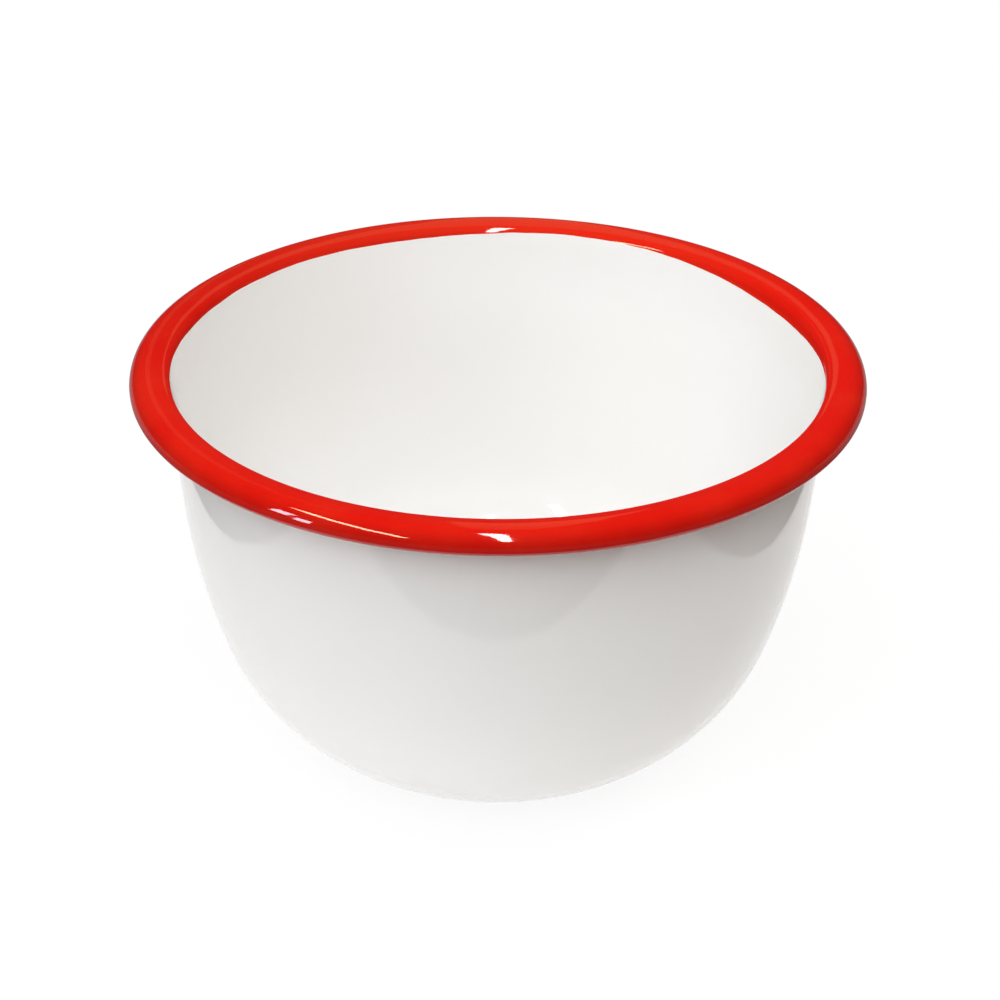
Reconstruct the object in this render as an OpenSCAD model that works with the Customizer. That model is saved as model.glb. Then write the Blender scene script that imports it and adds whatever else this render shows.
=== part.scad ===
// Enamelled steel basin bowl with a curled rim.
// Millimetres. The origin is the middle of the base and Z points up.

/* [Bowl] */
// Diameter over the curled rim
rim_d = 160; // [130:1:190]
// Height from the standing ring to the top of the rim
bowl_h = 93; // [75:1:110]
// Outer radius of the standing ring, as a share of the rim's radius
base_share = 0.44; // [0.4:0.005:0.48]
// Radius of the corner above the standing ring, as a share of the rim's radius
corner_share = 0.25; // [0.2:0.01:0.36]
// Height above which the wall is straight, as a share of the bowl's height
straight_share = 0.675; // [0.6:0.005:0.75]
// Angle by which the straight part of the wall leans out
wall_lean = 3.8; // [2:0.1:5]

/* [Base] */
// Height by which the middle of the base is pressed up
kick_h = 1; // [0.4:0.1:2]
// Flat width of the standing ring
stand_w = 5; // [3:0.5:8]

/* [Rim] */
// Inside radius of the steel where the wall bends out into the rim
bend_in_r = 1.1; // [0.8:0.1:2]
// Radius of the rim's gently crowned top
crown_r = 13.4; // [10:0.1:16]
// Radius of the roll at the rim's outer edge
roll_r = 3.4; // [3:0.1:4.5]
// Inside radius of the steel where the roll turns under and where its edge turns up
turn_in_r = 0.35; // [0.3:0.05:0.8]
// Gap between the tucked edge of the curl and the wall
curl_gap = 0.4; // [0.2:0.1:1]
// Length by which the red coat runs down the inside wall below the bend
red_drop = 0.4; // [0.2:0.1:3]

/* [Sheet and coats] */
// Thickness of the steel sheet
steel_t = 0.6; // [0.5:0.05:0.9]
// Thickness of the ground coat on each face
ground_t = 0.15; // [0.1:0.05:0.2]
// Thickness of a cover coat
cover_t = 0.25; // [0.15:0.05:0.35]

/* [Hidden] */
// Cosine and sine of the three slopes at which the arcs of the section meet
slight_cos_share = 0.96;
slight_sin_share = 0.28;
low_cos_share = 0.8;
low_sin_share = 0.6;
steep_cos_share = 0.28;
steep_sin_share = 0.96;

// Directions from an arc's centre
out_dir = [1, 0];
in_dir = [-1, 0];
up_dir = [0, 1];
down_dir = [0, -1];
low_dir = [low_sin_share, -low_cos_share];
steep_dir = [steep_sin_share, -steep_cos_share];
wall_dir = [cos(wall_lean), -sin(wall_lean)];
wall_up_dir = [sin(wall_lean), cos(wall_lean)];
kick_dir = [slight_sin_share, slight_cos_share];
crown_dir = [-slight_sin_share, slight_cos_share];

// Depths of the layers, counted from the bowl's outer face
depth_ground_out = cover_t;
depth_steel_out = depth_ground_out + ground_t;
depth_steel_in = depth_steel_out + steel_t;
depth_cover_in = depth_steel_in + ground_t;
wall_t = depth_cover_in + cover_t;
// Depth of the steel's outer face below the rim's upper face
rim_t = wall_t - depth_steel_out;

// Rim, on its upper face
rim_r = rim_d / 2;
bend_r = bend_in_r + rim_t;
turn_r = turn_in_r + rim_t;
crown_c = [rim_r - roll_r, bowl_h - crown_r];
roll_c = [rim_r - roll_r, bowl_h - roll_r];
bend_c = crown_c + (crown_r - bend_r) * crown_dir;
turn_c = [rim_r - turn_r, bowl_h - roll_r];
wall_top = bend_c - (bend_r - wall_t) * wall_dir;
tuck_c = [wall_top.x + curl_gap + turn_r, turn_c.y];

// Side, on its outer face: corner, belly and flank arcs that meet without a crease
base_r = base_share * rim_r;
corner_r = corner_share * rim_r;
straight_z = straight_share * bowl_h;
straight_r = wall_top.x - (wall_top.y - straight_z) * tan(wall_lean);
side_run = straight_r - base_r - low_sin_share * corner_r;
side_rise = straight_z - (1 - low_cos_share) * corner_r;
belly_run_share = steep_sin_share - low_sin_share;
belly_rise_share = low_cos_share - steep_cos_share;
flank_run_share = cos(wall_lean) - steep_sin_share;
flank_rise_share = steep_cos_share - sin(wall_lean);
side_share = belly_run_share * flank_rise_share - flank_run_share * belly_rise_share;
belly_r = (flank_rise_share * side_run - flank_run_share * side_rise) / side_share;
flank_r = (belly_run_share * side_rise - belly_rise_share * side_run) / side_share;
corner_c = [base_r, corner_r];
belly_c = corner_c + (corner_r - belly_r) * low_dir;
flank_c = belly_c + (belly_r - flank_r) * steep_dir;

// Base, on its outer face: a flat standing ring around a middle that is pressed up
kick_r = kick_h / (1 - slight_cos_share) / 2;
stand_in_r = base_r - stand_w;
foot_c = [stand_in_r, kick_r];
middle_r = stand_in_r - 2 * slight_sin_share * kick_r;
middle_c = [middle_r, kick_h - kick_r];

// Steps in which each arc of the section is drawn
kick_steps = 4;
corner_steps = 9;
belly_steps = 10;
flank_steps = 8;
bend_steps = 9;
crown_steps = 4;
roll_steps = 11;
turn_steps = 8;
$fn = 120;

// Direction at a share of the turn between two directions
function between(from, to, share) =
    let (angle = share * atan2(cross(from, to), from * to))
    [from.x * cos(angle) - from.y * sin(angle), from.x * sin(angle) + from.y * cos(angle)];

// Points of an arc about a centre, after its first
function arc(centre, r, from, to, steps) =
    [for (i = [1:steps]) centre + r * between(from, to, i / steps)];

// A line's points from its last to its first
function reversed(line) = [for (i = [len(line) - 1:-1:0]) line[i]];

// Line of the base and side at a depth from the outer face, from the axis to the straight wall
function side_line(d) = concat(
    [[0, kick_h + d], [middle_r, kick_h + d]],
    arc(middle_c, kick_r + d, up_dir, kick_dir, kick_steps),
    arc(foot_c, kick_r - d, -kick_dir, down_dir, kick_steps),
    [[base_r, d]],
    arc(corner_c, corner_r - d, down_dir, low_dir, corner_steps),
    arc(belly_c, belly_r - d, low_dir, steep_dir, belly_steps),
    arc(flank_c, flank_r - d, steep_dir, wall_dir, flank_steps)
);

// Point of the straight wall at a depth from the outer face and a distance below the bend
function wall_point(d, below) = wall_top - d * wall_dir - below * wall_up_dir;

// Line of the bend from the wall into the rim, after its first point
function bend_line(d) = arc(bend_c, bend_r - wall_t + d, -wall_dir, crown_dir, bend_steps);

// Line of the crown, the roll and the tucked curl, after its first point
function curl_line(d) = concat(
    arc(crown_c, crown_r - wall_t + d, crown_dir, up_dir, crown_steps),
    arc(roll_c, roll_r - wall_t + d, up_dir, out_dir, roll_steps),
    arc(turn_c, turn_r - wall_t + d, out_dir, down_dir, turn_steps),
    [tuck_c + (turn_r - wall_t + d) * down_dir],
    arc(tuck_c, turn_r - wall_t + d, down_dir, in_dir, turn_steps)
);

// Line of the whole sheet at a depth from the outer face, from the axis to its cut edge
function sheet_line(d) = concat(side_line(d), [wall_point(d, 0)], bend_line(d), curl_line(d));

// Turned layer between two lines
module layer(line_a, line_b) {
    rotate_extrude()
        polygon(concat(line_a, reversed(line_b)));
}

// Deep-drawn steel sheet with its rim curled out and under
module steel_shell() {
    color([0.45, 0.46, 0.48])
        layer(sheet_line(depth_steel_out), sheet_line(depth_steel_in));
}

// Dark ground coat on the steel's inner and upper face, closed over its cut edge
module ground_coat_inside() {
    edge_in = tuck_c + (turn_r - wall_t + depth_cover_in) * in_dir;
    edge_out = tuck_c + (turn_r - wall_t + depth_ground_out) * in_dir;
    edge_cover = ground_t * up_dir;
    color([0.1, 0.11, 0.14])
        layer(concat(sheet_line(depth_steel_in), [edge_out]),
              concat(sheet_line(depth_cover_in), [edge_in + edge_cover, edge_out + edge_cover]));
}

// Dark ground coat on the steel's outer face and inside the curl
module ground_coat_outside() {
    color([0.12, 0.12, 0.15])
        layer(sheet_line(depth_ground_out), sheet_line(depth_steel_out));
}

// White cover coat inside the bowl, up to the red coat
module white_coat_inside() {
    color([0.93, 0.93, 0.92])
        layer(concat(side_line(depth_cover_in), [wall_point(depth_cover_in, red_drop)]),
              concat(side_line(wall_t), [wall_point(wall_t, red_drop)]));
}

// White cover coat outside the bowl, up under the rim
module white_coat_outside() {
    color([0.96, 0.96, 0.95])
        layer(concat(side_line(0), [wall_point(0, 0)], bend_line(0)),
              concat(side_line(cover_t), [wall_point(cover_t, 0)], bend_line(cover_t)));
}

// Red cover coat over the rim and around its curl
module red_rim_coat() {
    color([0.82, 0.07, 0.04])
        layer(concat([wall_point(depth_cover_in, red_drop), wall_point(depth_cover_in, 0)],
                     bend_line(depth_cover_in), curl_line(depth_cover_in)),
              concat([wall_point(wall_t, red_drop), wall_point(wall_t, 0)],
                     bend_line(wall_t), curl_line(wall_t)));
}

steel_shell();
ground_coat_inside();
ground_coat_outside();
white_coat_inside();
white_coat_outside();
red_rim_coat();
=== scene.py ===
import math

import bpy
from mathutils import Matrix, Vector


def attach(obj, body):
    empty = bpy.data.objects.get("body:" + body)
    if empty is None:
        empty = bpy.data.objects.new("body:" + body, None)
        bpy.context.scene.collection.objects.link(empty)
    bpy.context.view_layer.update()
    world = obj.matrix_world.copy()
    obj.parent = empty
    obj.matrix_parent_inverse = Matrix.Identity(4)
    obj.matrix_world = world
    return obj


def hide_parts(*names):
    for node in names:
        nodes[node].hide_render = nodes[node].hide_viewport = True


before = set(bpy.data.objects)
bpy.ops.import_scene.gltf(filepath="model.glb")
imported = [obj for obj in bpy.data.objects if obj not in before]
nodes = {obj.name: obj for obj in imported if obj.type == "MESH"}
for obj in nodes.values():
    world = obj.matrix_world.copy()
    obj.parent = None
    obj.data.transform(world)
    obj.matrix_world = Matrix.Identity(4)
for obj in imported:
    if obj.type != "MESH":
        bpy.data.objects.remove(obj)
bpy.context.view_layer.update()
scene = bpy.context.scene
millimetre = 0.001
print("frame loaded:", ", ".join(sorted(nodes)))

# the section of the bowl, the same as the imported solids'

bowl = {                       # millimetres
    "rimRadius": 80.0,
    "height": 93.0,
    "baseRadius": 35.2,        # outer edge of the standing ring
    "cornerRadius": 20.0,      # above the standing ring
    "straightHeight": 62.775,  # above it the wall is straight
    "wallLean": 3.8,           # degrees
    "kickHeight": 1.0,         # the base is pressed up inside the ring
    "standWidth": 5.0,         # flat of the standing ring
    "bendRadius": 2.1,         # wall to rim, on the upper face
    "crownRadius": 13.4,       # top of the rim
    "rollRadius": 3.4,         # where the rim rolls down
    "turnRadius": 1.35,        # where the roll turns under and where its edge turns up
    "curlGap": 0.4,            # from the tucked edge to the wall
    "redDrop": 0.4,            # red below the start of the bend
    "coatThickness": 0.25,
    "wallThickness": 1.4,
}
sectionSteps = {               # points along each stretch of the section
    "floor": 6, "kick": 7, "stand": 3, "corner": 15, "belly": 24, "flank": 18,
    "innerWall": 14, "redDrop": 2, "innerBend": 16, "crown": 8, "roll": 20,
    "turn": 12, "under": 5, "tuck": 10, "outerWall": 10, "outerBend": 8,
}

# directions from the centres of the section's arcs
inward, outward, upward, downward = (-1, 0), (1, 0), (0, 1), (0, -1)
lowSlope, steepSlope = (0.6, -0.8), (0.96, -0.28)
kickSlope, crownSlope = (0.28, 0.96), (-0.28, 0.96)
lean = math.radians(bowl["wallLean"])
leanCos, leanSin = math.cos(lean), math.sin(lean)
wallSlope, wallUp, wallInward = (leanCos, -leanSin), (leanSin, leanCos), (-leanCos, leanSin)


def step(point, direction, length):
    return (point[0] + direction[0] * length, point[1] + direction[1] * length)


def arc(centre, radius, start, end, steps):
    sweep = math.atan2(start[0] * end[1] - start[1] * end[0],
                       start[0] * end[0] + start[1] * end[1])
    points = []
    for i in range(1, steps + 1):
        c, s = math.cos(sweep * i / steps), math.sin(sweep * i / steps)
        direction = (start[0] * c - start[1] * s, start[0] * s + start[1] * c)
        points.append(step(centre, direction, radius))
    return points


def straight(start, end, steps):
    return [(start[0] + (end[0] - start[0]) * i / steps, start[1] + (end[1] - start[1]) * i / steps)
            for i in range(1, steps + 1)]


def rimPoints():
    # centres of the rim's arcs, and the top of the wall's outer face
    b = bowl
    crown = (b["rimRadius"] - b["rollRadius"], b["height"] - b["crownRadius"])
    roll = (crown[0], b["height"] - b["rollRadius"])
    bend = step(crown, crownSlope, b["crownRadius"] - b["bendRadius"])
    wallTop = step(bend, wallInward, b["bendRadius"] - b["wallThickness"])
    return {
        "crown": crown,
        "roll": roll,
        "bend": bend,
        "turn": (b["rimRadius"] - b["turnRadius"], roll[1]),
        "tuck": (wallTop[0] + b["curlGap"] + b["turnRadius"], roll[1]),
        "wallTop": wallTop,
    }


rim = rimPoints()


def sideLine(depth):
    # from the axis to the straight wall, at a depth from the outer face, and the top of that wall
    b, steps, wallTop = bowl, sectionSteps, rim["wallTop"]

    # radii of the belly and flank arcs, so that they meet the corner and the wall without a crease
    straightRadius = wallTop[0] - (wallTop[1] - b["straightHeight"]) * leanSin / leanCos
    run = straightRadius - b["baseRadius"] - lowSlope[0] * b["cornerRadius"]
    rise = b["straightHeight"] - (1 + lowSlope[1]) * b["cornerRadius"]
    bellyRun, bellyRise = steepSlope[0] - lowSlope[0], steepSlope[1] - lowSlope[1]
    flankRun, flankRise = wallSlope[0] - steepSlope[0], wallSlope[1] - steepSlope[1]
    cross = bellyRun * flankRise - flankRun * bellyRise
    bellyRadius = (flankRise * run - flankRun * rise) / cross
    flankRadius = (bellyRun * rise - bellyRise * run) / cross

    corner = (b["baseRadius"], b["cornerRadius"])
    belly = step(corner, lowSlope, b["cornerRadius"] - bellyRadius)
    flank = step(belly, steepSlope, bellyRadius - flankRadius)
    kickRadius = b["kickHeight"] / (1 - kickSlope[1]) / 2
    foot = (b["baseRadius"] - b["standWidth"], kickRadius)
    middle = (foot[0] - 2 * kickSlope[0] * kickRadius, b["kickHeight"] - kickRadius)
    line = [(0.0, b["kickHeight"] + depth)]
    line += straight(line[-1], (middle[0], b["kickHeight"] + depth), steps["floor"])
    line += arc(middle, kickRadius + depth, upward, kickSlope, steps["kick"])
    line += arc(foot, kickRadius - depth, (-kickSlope[0], -kickSlope[1]), downward, steps["kick"])
    line += straight(line[-1], (b["baseRadius"], depth), steps["stand"])
    line += arc(corner, b["cornerRadius"] - depth, downward, lowSlope, steps["corner"])
    line += arc(belly, bellyRadius - depth, lowSlope, steepSlope, steps["belly"])
    line += arc(flank, flankRadius - depth, steepSlope, wallSlope, steps["flank"])
    return line, step(wallTop, wallInward, depth)


def upperLine():
    # the bowl's inner face, then over the rim and round its curl
    b, steps, tuck = bowl, sectionSteps, rim["tuck"]
    line, wallTop = sideLine(b["wallThickness"])
    line += straight(line[-1], step(wallTop, wallUp, -b["redDrop"]), steps["innerWall"])
    edgeRow = len(line) - 1    # where the white stops and the red starts
    line += straight(line[-1], wallTop, steps["redDrop"])
    line += arc(rim["bend"], b["bendRadius"], wallInward, crownSlope, steps["innerBend"])
    line += arc(rim["crown"], b["crownRadius"], crownSlope, upward, steps["crown"])
    line += arc(rim["roll"], b["rollRadius"], upward, outward, steps["roll"])
    line += arc(rim["turn"], b["turnRadius"], outward, downward, steps["turn"])
    line += straight(line[-1], (tuck[0], tuck[1] - b["turnRadius"]), steps["under"])
    line += arc(tuck, b["turnRadius"], downward, inward, steps["tuck"])
    return line, edgeRow


def lowerLine():
    # the bowl's outer face, up under the rim
    b, steps = bowl, sectionSteps
    line, wallTop = sideLine(0.0)
    line += straight(line[-1], wallTop, steps["outerWall"])
    line += arc(rim["bend"], b["bendRadius"] - b["wallThickness"], wallInward, crownSlope, steps["outerBend"])
    return line


def sectionCurve(name, line):
    data = bpy.data.curves.new(name, "CURVE")
    data.dimensions = "3D"
    spline = data.splines.new("POLY")
    spline.points.add(len(line) - 1)
    for point, (r, z) in zip(spline.points, line):
        point.co = (r * millimetre, 0, z * millimetre, 1)
    made = bpy.data.objects.new(name, data)
    scene.collection.objects.link(made)
    return made


def lengthTo(line, row):
    return sum(math.dist(line[i], line[i + 1]) for i in range(row)) * millimetre


# node helpers

def addNode(tree, kind, inputs=None, **settings):
    node = tree.nodes.new(kind)
    for key, value in settings.items():
        setattr(node, key, value)
    for key, value in (inputs or {}).items():
        if isinstance(value, bpy.types.NodeSocket):
            tree.links.new(value, node.inputs[key])
        else:
            node.inputs[key].default_value = value
    return node


def mathNode(tree, operation, a, b=None):
    inputs = {0: a} if b is None else {0: a, 1: b}
    return addNode(tree, "ShaderNodeMath", inputs, operation=operation).outputs[0]


# turned coats: one tree lathes a section and lets the brushed edge wander

brushedEdge = {                # the red edge was brushed on by hand
    "waves": [                 # mm and degrees: one wave round the rim, then two, and so on
        (0.45, 170), (0.45, -175), (0.40, -125), (0.30, -75), (0.30, -70), (0.10, 55), (0.10, -75)],
    "tremble": 0.30,           # mm, small unevenness on top of the waves
    "trembleScale": 7.0,
    "trembleDetail": 2.0,
    "trembleRoughness": 0.55,
    "seed": 4.0,
    "fadeInside": 14.0,        # mm along the section, where the wander fades out
    "fadeOverRim": 7.0,
}
turning = {
    "columns": 256,
    "rimColumns": 320,
    "weld": 0.002,             # mm, closes the seam and the pole
    "sharpFrom": 50.0,         # degrees
}


def edgeWander(tree, given, angle, across, along):
    # how far the edge wanders at this angle
    wander = None
    for k in range(1, len(brushedEdge["waves"]) + 1):
        turnBy = mathNode(tree, "SUBTRACT", mathNode(tree, "MULTIPLY", angle, float(k)), given[f"Phase {k}"])
        wave = mathNode(tree, "MULTIPLY", mathNode(tree, "COSINE", turnBy), given[f"Wave {k}"])
        wander = wave if wander is None else mathNode(tree, "ADD", wander, wave)
    onCircle = addNode(tree, "ShaderNodeCombineXYZ", {0: across, 1: along, 2: given["Seed"]}).outputs[0]
    noise = addNode(tree, "ShaderNodeTexNoise", {
        "Vector": onCircle, "Scale": given["Tremble scale"],
        "Detail": brushedEdge["trembleDetail"], "Roughness": brushedEdge["trembleRoughness"]}).outputs[0]
    tremble = mathNode(tree, "MULTIPLY", mathNode(tree, "SUBTRACT", noise, 0.5), 2.0)
    wander = mathNode(tree, "ADD", wander, mathNode(tree, "MULTIPLY", tremble, given["Tremble"]))
    return mathNode(tree, "MULTIPLY", wander, given["Edge amount"])


def turnedCoatTree():
    tree = bpy.data.node_groups.new("turnedCoat", "GeometryNodeTree")
    sockets = {}

    def newInput(name, kind, default=None):
        sockets[name] = tree.interface.new_socket(name=name, in_out="INPUT", socket_type=kind)
        if default is not None:
            sockets[name].default_value = default

    newInput("Section", "NodeSocketObject")
    newInput("First row", "NodeSocketInt", 0)
    newInput("Last row", "NodeSocketInt", 1)
    newInput("Columns", "NodeSocketInt", turning["columns"])
    newInput("Turn", "NodeSocketFloat", 1.0)
    newInput("Edge length", "NodeSocketFloat", 0.0)
    newInput("Edge blend", "NodeSocketFloat", brushedEdge["fadeOverRim"] * millimetre)
    newInput("Edge amount", "NodeSocketFloat", 0.0)
    newInput("Tremble", "NodeSocketFloat", brushedEdge["tremble"] * millimetre)
    newInput("Tremble scale", "NodeSocketFloat", brushedEdge["trembleScale"])
    newInput("Seed", "NodeSocketFloat", brushedEdge["seed"])
    for k, (height, phase) in enumerate(brushedEdge["waves"], 1):
        newInput(f"Wave {k}", "NodeSocketFloat", height * millimetre)
        newInput(f"Phase {k}", "NodeSocketFloat", math.radians(phase))
    newInput("Coat", "NodeSocketMaterial")
    tree.interface.new_socket(name="Geometry", in_out="OUTPUT", socket_type="NodeSocketGeometry")
    given = addNode(tree, "NodeGroupInput").outputs

    # a grid with rows along the section and columns round the axis
    rowSpan = mathNode(tree, "SUBTRACT", given["Last row"], given["First row"])
    grid = addNode(tree, "GeometryNodeMeshGrid", {
        "Size X": rowSpan,
        "Size Y": given["Columns"],
        "Vertices X": mathNode(tree, "ADD", rowSpan, 1.0),
        "Vertices Y": mathNode(tree, "ADD", given["Columns"], 1.0)})
    position = addNode(tree, "GeometryNodeInputPosition").outputs[0]
    place = addNode(tree, "ShaderNodeSeparateXYZ", {0: position}).outputs
    fromFirst = mathNode(tree, "ADD", place[0], mathNode(tree, "MULTIPLY", rowSpan, 0.5))
    row = mathNode(tree, "ROUND", mathNode(tree, "ADD", fromFirst, given["First row"]))
    angle = mathNode(tree, "MULTIPLY", mathNode(tree, "DIVIDE", place[1], given["Columns"]), math.tau)
    angle = mathNode(tree, "MULTIPLY", angle, given["Turn"])
    across, along = mathNode(tree, "COSINE", angle), mathNode(tree, "SINE", angle)

    # rows near the edge slide along the section with it
    wander = edgeWander(tree, given, angle, across, along)
    section = addNode(tree, "GeometryNodeObjectInfo", {"Object": given["Section"]},
                      transform_space="ORIGINAL").outputs["Geometry"]
    lengthAt = addNode(tree, "GeometryNodeSampleIndex", {
        "Geometry": section,
        "Value": addNode(tree, "GeometryNodeSplineParameter").outputs["Length"],
        "Index": row}, data_type="FLOAT", domain="POINT").outputs[0]
    fromEdge = mathNode(tree, "ABSOLUTE", mathNode(tree, "SUBTRACT", lengthAt, given["Edge length"]))
    share = addNode(tree, "ShaderNodeMapRange", {
        "Value": fromEdge, "From Min": 0.0, "From Max": given["Edge blend"], "To Min": 1.0, "To Max": 0.0},
        interpolation_type="SMOOTHSTEP").outputs[0]
    slid = mathNode(tree, "ADD", lengthAt, mathNode(tree, "MULTIPLY", wander, share))
    onSection = addNode(tree, "GeometryNodeSampleCurve", {"Curves": section, "Length": slid},
                        mode="LENGTH", use_all_curves=True).outputs["Position"]
    reach = addNode(tree, "ShaderNodeSeparateXYZ", {0: onSection}).outputs
    turned = addNode(tree, "ShaderNodeCombineXYZ", {
        0: mathNode(tree, "MULTIPLY", reach[0], across),
        1: mathNode(tree, "MULTIPLY", reach[0], along),
        2: reach[2]}).outputs[0]

    kept = addNode(tree, "GeometryNodeStoreNamedAttribute",
                   {"Geometry": grid.outputs["Mesh"], "Name": "fromEdge", "Value": fromEdge},
                   data_type="FLOAT", domain="POINT").outputs[0]
    lathed = addNode(tree, "GeometryNodeSetPosition", {"Geometry": kept, "Position": turned}).outputs[0]
    closed = addNode(tree, "GeometryNodeMergeByDistance",
                     {"Geometry": lathed, "Distance": turning["weld"] * millimetre}).outputs[0]
    smooth = addNode(tree, "GeometryNodeSetShadeSmooth", {"Geometry": closed}).outputs[0]
    real = addNode(tree, "GeometryNodeRealizeInstances", {"Geometry": smooth}).outputs[0]
    coated = addNode(tree, "GeometryNodeSetMaterial", {"Geometry": real, "Material": given["Coat"]})
    addNode(tree, "NodeGroupOutput", {0: coated.outputs[0]})
    return tree, {name: socket.identifier for name, socket in sockets.items()}


coatTree, coatInputs = turnedCoatTree()


def turnedCoat(name, values, node):
    made = bpy.data.objects.new(name, bpy.data.meshes.new(name))
    scene.collection.objects.link(made)
    lathe = made.modifiers.new("lathe", "NODES")
    lathe.node_group = coatTree
    for key, value in values.items():
        lathe[coatInputs[key]] = value
    wall = made.modifiers.new("coatThickness", "SOLIDIFY")
    wall.thickness = bowl["coatThickness"] * millimetre
    wall.offset = -1.0
    depsgraph = bpy.context.evaluated_depsgraph_get()
    mesh = bpy.data.meshes.new_from_object(made.evaluated_get(depsgraph))
    made.modifiers.clear()
    made.data = mesh
    mesh.name = name
    mesh.set_sharp_from_angle(angle=math.radians(turning["sharpFrom"]))
    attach(made, "root")
    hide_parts(node)
    triangles = sum(len(polygon.vertices) - 2 for polygon in mesh.polygons)
    print(f"{name}: {len(mesh.vertices)} points, {triangles} triangles")


# finishes

def newFinish(name):
    material = bpy.data.materials.new(name)
    material.use_nodes = True
    tree = material.node_tree
    tree.nodes.clear()
    shader = addNode(tree, "ShaderNodeBsdfPrincipled")
    addNode(tree, "ShaderNodeOutputMaterial", {"Surface": shader.outputs[0]})
    place = addNode(tree, "ShaderNodeTexCoord").outputs["Object"]
    return material, tree, shader, place


def noiseAt(tree, place, scale, detail, roughness=0.5):
    return addNode(tree, "ShaderNodeTexNoise", {
        "Vector": place, "Scale": scale, "Detail": detail, "Roughness": roughness}).outputs[0]


def ranged(tree, value, low, high, toLow=0.0, toHigh=1.0):
    return addNode(tree, "ShaderNodeMapRange", {
        "Value": value, "From Min": low, "From Max": high, "To Min": toLow, "To Max": toHigh}).outputs[0]


def mottled(tree, place, scale, detail, between, to=(0.0, 1.0), roughness=0.5):
    # noise, with its values between two spread over another range
    return ranged(tree, noiseAt(tree, place, scale, detail, roughness), *between, *to)


def blendColours(tree, share, a, b):
    mix = addNode(tree, "ShaderNodeMix", data_type="RGBA")
    tree.links.new(share, mix.inputs["Factor"])
    for key, value in (("A", a), ("B", b)):
        socket = [s for s in mix.inputs if s.name == key and s.type == "RGBA"][0]
        if isinstance(value, bpy.types.NodeSocket):
            tree.links.new(value, socket)
        else:
            socket.default_value = (*value, 1)
    return [s for s in mix.outputs if s.type == "RGBA"][0]


def addBumps(tree, shader, place, waves, normal=None):
    for wave in waves:
        height = noiseAt(tree, place, wave["scale"], wave["detail"])
        inputs = {"Height": height, "Distance": wave["height"], "Strength": 1.0}
        if normal is not None:
            inputs["Normal"] = normal
        normal = addNode(tree, "ShaderNodeBump", inputs).outputs[0]
    tree.links.new(normal, shader.inputs["Normal"])


whiteEnamel = {                # heights in metres
    "colour": (0.802, 0.799, 0.792),
    "warm": (0.798, 0.790, 0.776),
    "cloud": {"scale": 24.0, "detail": 3.0, "between": (0.38, 0.68)},
    "gloss": {"scale": 60.0, "detail": 4.0, "between": (0.35, 0.75), "to": (0.03, 0.07)},
    "ior": 1.52,
    "sheetWave": {"scale": 45.0, "detail": 1.0, "height": 0.00006},  # slow unevenness of the drawn sheet
    "peel": {"scale": 420.0, "detail": 2.0, "height": 0.000006},     # fine skin of the fired glass
}


def whiteEnamelFinish():
    look = whiteEnamel
    material, tree, shader, place = newFinish("whiteEnamel")
    cloud = mottled(tree, place, **look["cloud"])
    colour = blendColours(tree, cloud, look["colour"], look["warm"])
    tree.links.new(colour, shader.inputs["Base Color"])
    tree.links.new(mottled(tree, place, **look["gloss"]), shader.inputs["Roughness"])
    shader.inputs["IOR"].default_value = look["ior"]
    addBumps(tree, shader, place, [look["sheetWave"], look["peel"]])
    return material


redEnamel = {                  # lengths and heights in metres
    "colour": (0.60, 0.0065, 0.0020),
    "shadedRed": (0.47, 0.0056, 0.0019),       # painted shade: a darker red on the roll and on one side, standing in for less light there
    "rollShadeFrom": (0.0055, 0.0105),         # painted shade over the roll, this far over the rim from the inner edge
    "shadedSide": (-0.7071, 0.7071, 0.0),
    "shadedSideFrom": (0.033, 0.078),          # towards that side
    "shadedSideShare": 0.9,
    "thinCoatAndSheen": (0.60, 0.028, 0.0090),        # where the brush left less; at the back the same orange is a painted warm reflection
    "thinEdge": 0.7,                      # shares of it at the inner edge, in clouds, and at the back as painted reflection
    "thinClouds": 0.25,
    "warmSheenBehind": 0.45,
    "edgeWidth": 0.0011,
    "warmSheenFrom": (0.025, 0.070),
    "cloud": {"scale": 70.0, "detail": 3.0, "between": (0.40, 0.72)},
    "gloss": {"scale": 90.0, "detail": 4.0, "between": (0.35, 0.75), "to": (0.03, 0.06)},
    "ior": 1.52,
    "bead": 0.80,                         # the brushed edge rounds off as a soft bead
    "beadBehind": 0.26,                   # flatter at the back
    "beadFrom": (0.046, 0.066),
    "beadWidth": 0.0046,
    "brushWave": {"scale": 95.0, "detail": 1.0, "height": 0.00010},
    "peel": {"scale": 520.0, "detail": 2.0, "height": 0.000005},
}


def redEnamelColour(tree, place, toEdge, towardsBack):
    look = redEnamel
    # painted shade: the red darkens over the roll and towards one side of the rim
    towardsShadedSide = addNode(tree, "ShaderNodeVectorMath", {0: place, 1: look["shadedSide"]},
                          operation="DOT_PRODUCT").outputs["Value"]
    shadeOnSide = ranged(tree, towardsShadedSide, *look["shadedSideFrom"], 0.0, look["shadedSideShare"])
    paintedShade = mathNode(tree, "MAXIMUM", ranged(tree, toEdge, *look["rollShadeFrom"]), shadeOnSide)
    body = blendColours(tree, paintedShade, look["colour"], look["shadedRed"])
    atEdge = ranged(tree, toEdge, 0.0, look["edgeWidth"], look["thinEdge"], 0.0)
    inClouds = mathNode(tree, "MULTIPLY", mottled(tree, place, **look["cloud"]), look["thinClouds"])
    # painted reflection: a warm orange tint towards the back of the rim
    behind = ranged(tree, towardsBack, *look["warmSheenFrom"], 0.0, look["warmSheenBehind"])
    thinCoatAndSheen = mathNode(tree, "MAXIMUM", mathNode(tree, "MAXIMUM", atEdge, inClouds), behind)
    return blendColours(tree, thinCoatAndSheen, body, look["thinCoatAndSheen"])


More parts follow.
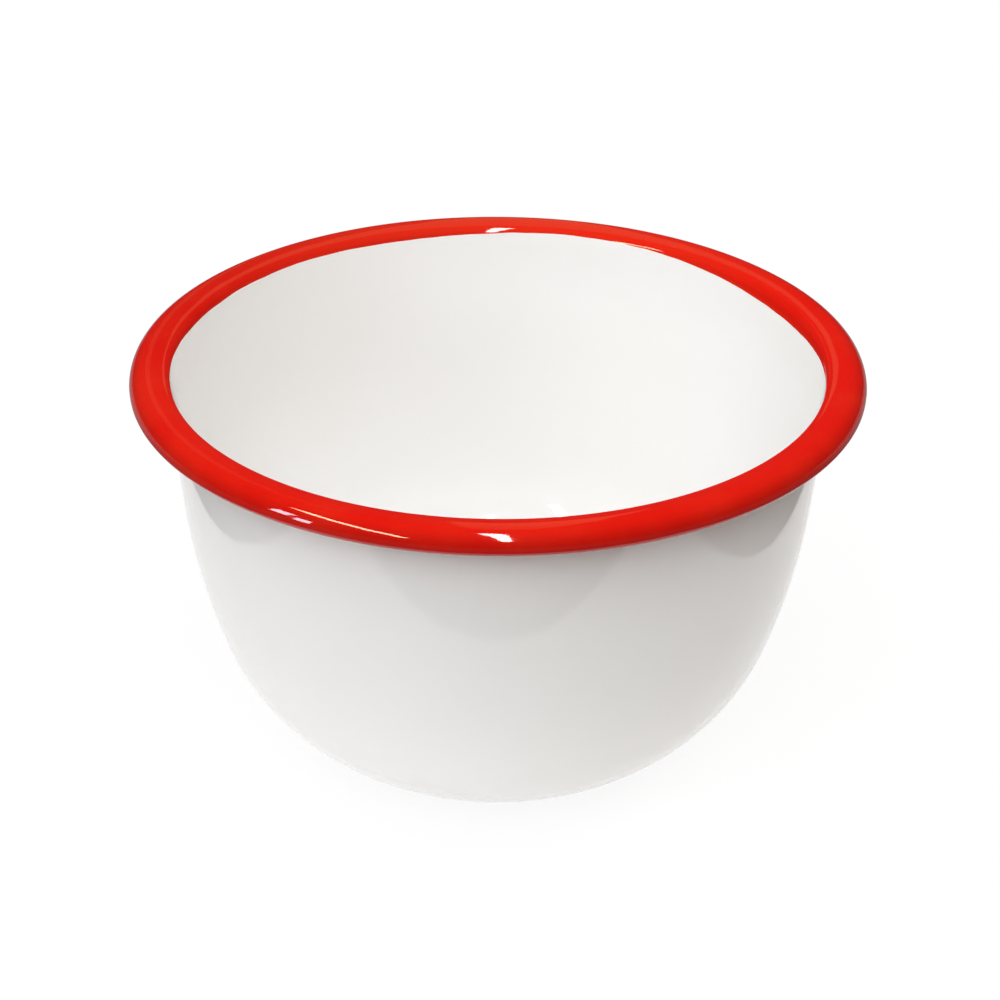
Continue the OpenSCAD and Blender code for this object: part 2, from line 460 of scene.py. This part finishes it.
def beadNormal(tree, toEdge, towardsBack):
    # leans the surface up towards the inner edge
    look = redEnamel
    height = ranged(tree, towardsBack, *look["beadFrom"], look["bead"], look["beadBehind"])
    nearEdge = ranged(tree, toEdge, 0.0, look["beadWidth"], 1.0, 0.0)
    lift = addNode(tree, "ShaderNodeCombineXYZ", {2: mathNode(tree, "MULTIPLY", height, nearEdge)})
    facing = addNode(tree, "ShaderNodeNewGeometry").outputs["Normal"]
    leaning = addNode(tree, "ShaderNodeVectorMath", {0: facing, 1: lift.outputs[0]}, operation="ADD")
    return addNode(tree, "ShaderNodeVectorMath", {0: leaning.outputs[0]}, operation="NORMALIZE").outputs[0]


def redEnamelFinish():
    look = redEnamel
    material, tree, shader, place = newFinish("redEnamel")
    toEdge = addNode(tree, "ShaderNodeAttribute", attribute_name="fromEdge").outputs["Fac"]
    towardsBack = addNode(tree, "ShaderNodeSeparateXYZ", {0: place}).outputs[1]
    tree.links.new(redEnamelColour(tree, place, toEdge, towardsBack), shader.inputs["Base Color"])
    tree.links.new(mottled(tree, place, **look["gloss"]), shader.inputs["Roughness"])
    shader.inputs["IOR"].default_value = look["ior"]
    addBumps(tree, shader, place, [look["brushWave"], look["peel"]], beadNormal(tree, toEdge, towardsBack))
    return material


groundEnamel = {
    "colour": (0.012, 0.014, 0.022),
    "speckColour": (0.035, 0.038, 0.05),
    "speck": {"scale": 900.0, "detail": 3.0, "between": (0.52, 0.66)},
    "gloss": {"scale": 180.0, "detail": 3.0, "between": (0.35, 0.7), "to": (0.18, 0.34)},
    "grain": {"scale": 700.0, "detail": 3.0, "height": 0.00002},
}


def groundEnamelFinish():
    look = groundEnamel
    material, tree, shader, place = newFinish("groundEnamel")
    speck = mottled(tree, place, **look["speck"])
    colour = blendColours(tree, speck, look["colour"], look["speckColour"])
    tree.links.new(colour, shader.inputs["Base Color"])
    tree.links.new(mottled(tree, place, **look["gloss"]), shader.inputs["Roughness"])
    addBumps(tree, shader, place, [look["grain"]])
    return material


sheetSteel = {
    "colour": (0.34, 0.34, 0.35),
    "stainColour": (0.20, 0.19, 0.19),
    "stain": {"scale": 130.0, "detail": 5.0, "between": (0.4, 0.7), "roughness": 0.6},
    "gloss": {"scale": 240.0, "detail": 4.0, "between": (0.3, 0.7), "to": (0.32, 0.5)},
    "metallic": 1.0,
    "grain": {"scale": 600.0, "detail": 2.0, "height": 0.00001},
}


def sheetSteelFinish():
    look = sheetSteel
    material, tree, shader, place = newFinish("sheetSteel")
    stain = mottled(tree, place, **look["stain"])
    colour = blendColours(tree, stain, look["colour"], look["stainColour"])
    tree.links.new(colour, shader.inputs["Base Color"])
    tree.links.new(mottled(tree, place, **look["gloss"]), shader.inputs["Roughness"])
    shader.inputs["Metallic"].default_value = look["metallic"]
    addBumps(tree, shader, place, [look["grain"]])
    return material


white, red = whiteEnamelFinish(), redEnamelFinish()
ground, steel = groundEnamelFinish(), sheetSteelFinish()
hiddenLayers = {"steel_shell": steel, "ground_coat_inside": ground, "ground_coat_outside": ground}
for nodeName, finish in hiddenLayers.items():
    nodes[nodeName].data.materials.clear()
    nodes[nodeName].data.materials.append(finish)
print("finishes made")

# the three coats that show

upper, edgeRow = upperLine()
lower = lowerLine()
upperCurve, lowerCurve = sectionCurve("upperSection", upper), sectionCurve("lowerSection", lower)
edgeLength = lengthTo(upper, edgeRow)

turnedCoat("innerWhiteEnamel", {
    "Section": upperCurve, "First row": 0, "Last row": edgeRow, "Columns": turning["columns"],
    "Turn": 1.0, "Edge length": edgeLength, "Edge blend": brushedEdge["fadeInside"] * millimetre,
    "Edge amount": 1.0, "Coat": white},
    "white_coat_inside")
turnedCoat("redRimEnamel", {
    "Section": upperCurve, "First row": edgeRow, "Last row": len(upper) - 1, "Columns": turning["rimColumns"],
    "Turn": 1.0, "Edge length": edgeLength, "Edge blend": brushedEdge["fadeOverRim"] * millimetre,
    "Edge amount": 1.0, "Coat": red},
    "red_rim_coat")
turnedCoat("outerWhiteEnamel", {
    "Section": lowerCurve, "First row": 0, "Last row": len(lower) - 1, "Columns": turning["columns"],
    "Turn": -1.0, "Edge amount": 0.0, "Coat": white},
    "white_coat_outside")
for curve in (upperCurve, lowerCurve):
    bpy.data.curves.remove(curve.data)
print("coats turned")

# camera, at the photograph's angle

view = {
    "lens": 64.8,              # millimetres, as the sensor
    "sensor": 36.0,
    "place": (0.0006, -0.3578, 0.2630),  # metres
    "dip": 0.5286,             # radians below level
    "roll": 0.0072,
    "clipStart": 0.01,
}

cameraData = bpy.data.cameras.new("camera")
cameraData.lens, cameraData.sensor_width = view["lens"], view["sensor"]
cameraData.clip_start = view["clipStart"]
camera = bpy.data.objects.new("camera", cameraData)
camera.matrix_world = (Matrix.Translation(view["place"])
                       @ Matrix.Rotation(math.pi / 2 - view["dip"], 4, "X")
                       @ Matrix.Rotation(view["roll"], 4, "Z"))
scene.collection.objects.link(camera)
scene.camera = camera

# light

softLamps = {                  # degrees, azimuth from the camera's side to the right; sizes in metres
    "overhead": {"azimuth": 0, "elevation": 83, "size": (1.3, 1.3), "radiance": 2.27,
                 "colour": (0.93, 0.965, 1.0)},
    "front": {"azimuth": -14, "elevation": 45, "size": (1.25, 0.55), "radiance": 4.05,
              "colour": (0.94, 0.97, 1.0)},
    "window": {"azimuth": -44, "elevation": 20, "size": (0.95, 0.45), "radiance": 3.45,
               "colour": (0.90, 0.95, 1.0)},
    "right": {"azimuth": 100, "elevation": 45, "size": (0.85, 0.6), "radiance": 2.9,
              "colour": (1.0, 0.98, 0.96)},
    "backLeft": {"azimuth": -104, "elevation": 45, "size": (0.85, 0.6), "radiance": 1.9,
                 "colour": (0.90, 0.953, 1.0)},
    "back": {"azimuth": 178, "elevation": 8, "size": (1.3, 0.28), "radiance": 3.6,
             "colour": (0.97, 0.985, 1.0)},
}
glints = {                     # narrow lamps that only show in the gloss, each aimed at a place on the rim
    "overheadTube": {"azimuth": 3, "elevation": 66, "size": (0.09, 1.25), "turn": 1.5, "radiance": 26.0,
                     "colour": (1.0, 0.97, 0.93), "aim": (0, -0.079, 0.092)},
    "farStripLeft": {"azimuth": -167, "elevation": 27, "size": (0.09, 0.75), "radiance": 0.13,
                     "colour": (1.0, 0.72, 0.36), "aim": (0, 0, 0.092)},
    "farStripMiddle": {"azimuth": 179, "elevation": 39, "size": (0.13, 1.0), "radiance": 0.32,
                       "colour": (1.0, 0.72, 0.36), "aim": (0, 0, 0.092)},
    "warmTube": {"azimuth": -48.9, "elevation": 43.6, "size": (1.24, 0.10), "turn": -34.5, "radiance": 24.0,
                 "colour": (1.0, 0.78, 0.52), "aim": (-0.027, -0.074, 0.092)},
    "paneLeft": {"azimuth": -64, "elevation": 17, "size": (0.13, 0.38), "radiance": 17.0,
                 "colour": (0.80, 0.86, 1.0), "aim": (-0.040, -0.069, 0.091)},
    "paneRight": {"azimuth": -56, "elevation": 7, "size": (0.11, 0.32), "radiance": 17.0,
                  "colour": (0.80, 0.86, 1.0), "aim": (-0.036, -0.071, 0.091)},
}
lampDistance = 1.3
bowlMiddle = (0, 0, 0.07)


def areaLamp(name, azimuth, elevation, size, radiance, colour, turn=0.0, aim=bowlMiddle):
    data = bpy.data.lights.new(name, "AREA")
    data.shape = "RECTANGLE"
    data.size, data.size_y = size
    data.energy = radiance * math.pi * size[0] * size[1]
    data.color = colour
    lamp = bpy.data.objects.new(name, data)
    a, e = math.radians(azimuth), math.radians(elevation)
    toward = Vector((math.sin(a) * math.cos(e), -math.cos(a) * math.cos(e), math.sin(e)))
    lamp.matrix_world = (Matrix.Translation(Vector(aim) + toward * lampDistance)
                         @ (-toward).to_track_quat("-Z", "Y").to_matrix().to_4x4()
                         @ Matrix.Rotation(math.radians(turn), 4, "Z"))
    lamp.visible_camera = False
    scene.collection.objects.link(lamp)
    return lamp


for lampName, values in softLamps.items():
    areaLamp(lampName, **values).visible_glossy = False
for lampName, values in glints.items():
    areaLamp(lampName, **values).visible_diffuse = False

room = {
    "ambient": 0.264,
    "ambientColour": (1.0, 0.81, 0.62),
    "seen": 1.0,               # white, where the camera looks past the floor
    "gloss": 0.04,             # the enamel mirrors a dark room
}


def lightRoom():
    world = bpy.data.worlds.new("room")
    world.use_nodes = True
    tree = world.node_tree
    tree.nodes.clear()
    ray = addNode(tree, "ShaderNodeLightPath").outputs
    backdrop = mathNode(tree, "MAXIMUM", ray["Is Camera Ray"], ray["Is Transmission Ray"])
    neutral = mathNode(tree, "MAXIMUM", backdrop, ray["Is Glossy Ray"])
    colour = blendColours(tree, neutral, room["ambientColour"], (1, 1, 1))
    strength = ranged(tree, ray["Is Glossy Ray"], 0.0, 1.0, room["ambient"], room["gloss"])
    strength = mathNode(tree, "MAXIMUM", strength, mathNode(tree, "MULTIPLY", backdrop, room["seen"]))
    sky = addNode(tree, "ShaderNodeBackground", {"Color": colour, "Strength": strength})
    addNode(tree, "ShaderNodeOutputWorld", {"Surface": sky.outputs[0]})
    scene.world = world


lightRoom()

# floor

floorLook = {                  # a white card lies on a grey table; the camera sees both as white
    "reach": 4.0,              # lengths in metres
    "card": (0.9, 0.9, 0.9),
    "table": (0.10, 0.10, 0.10),
    "tableBehind": (0.26, 0.26, 0.26),
    "cardMiddle": (-0.002, 0.01),
    "cardHalf": (0.147, 0.150),  # mirrored in the enamel under the rim
    "cardEdge": 0.0015,
    "behind": (0.05, 0.16),    # where the table grows paler towards the back
    "seenWhite": 0.90,         # near the bowl, where its shadow shows
    "shadeReach": (0.16, 0.34),  # where the shade fades out
}


def paleFloorFinish():
    look = floorLook
    material = bpy.data.materials.new("paleFloor")
    material.use_nodes = True
    tree = material.node_tree
    tree.nodes.clear()
    place = addNode(tree, "ShaderNodeTexCoord").outputs["Object"]
    axes = addNode(tree, "ShaderNodeSeparateXYZ", {0: place}).outputs
    pastSides = []
    for axis, (middle, half) in enumerate(zip(look["cardMiddle"], look["cardHalf"])):
        fromMiddle = mathNode(tree, "ABSOLUTE", mathNode(tree, "SUBTRACT", axes[axis], middle))
        pastSides.append(mathNode(tree, "SUBTRACT", fromMiddle, half))
    pastCard = mathNode(tree, "MAXIMUM", *pastSides)
    onCard = ranged(tree, pastCard, -look["cardEdge"], look["cardEdge"], 1.0, 0.0)
    ray = addNode(tree, "ShaderNodeLightPath").outputs
    behind = ranged(tree, axes[1], *look["behind"])
    tableColour = blendColours(tree, behind, look["table"], look["tableBehind"])
    paleShare = mathNode(tree, "MAXIMUM", onCard, ray["Is Camera Ray"])
    lit = addNode(tree, "ShaderNodeBsdfDiffuse", {
        "Color": blendColours(tree, paleShare, tableColour, look["card"])})
    glow = addNode(tree, "ShaderNodeEmission", {"Color": (1, 1, 1, 1), "Strength": 1.0})
    mirrored = mathNode(tree, "MAXIMUM", ray["Is Glossy Ray"], ray["Is Transmission Ray"])
    mirroredCard = mathNode(tree, "MULTIPLY", mirrored, onCard)
    whiteRay = mathNode(tree, "MAXIMUM", ray["Is Camera Ray"], mirroredCard)
    away = addNode(tree, "ShaderNodeVectorMath", {0: place}, operation="LENGTH").outputs["Value"]
    whiteness = ranged(tree, away, *look["shadeReach"], look["seenWhite"], 1.0)
    surface = addNode(tree, "ShaderNodeMixShader", {
        0: mathNode(tree, "MULTIPLY", whiteRay, whiteness), 1: lit.outputs[0], 2: glow.outputs[0]})
    addNode(tree, "ShaderNodeOutputMaterial", {"Surface": surface.outputs[0]})
    return material


floorMesh = bpy.data.meshes.new("floor")
reach = floorLook["reach"]
floorMesh.from_pydata([(-reach, -reach, 0), (reach, -reach, 0), (reach, reach, 0), (-reach, reach, 0)],
                      [], [(0, 1, 2, 3)])
floorMesh.materials.append(paleFloorFinish())
floor = bpy.data.objects.new("floor", floorMesh)
scene.collection.objects.link(floor)
print("stage and light set")

scene.view_settings.view_transform = "Standard"
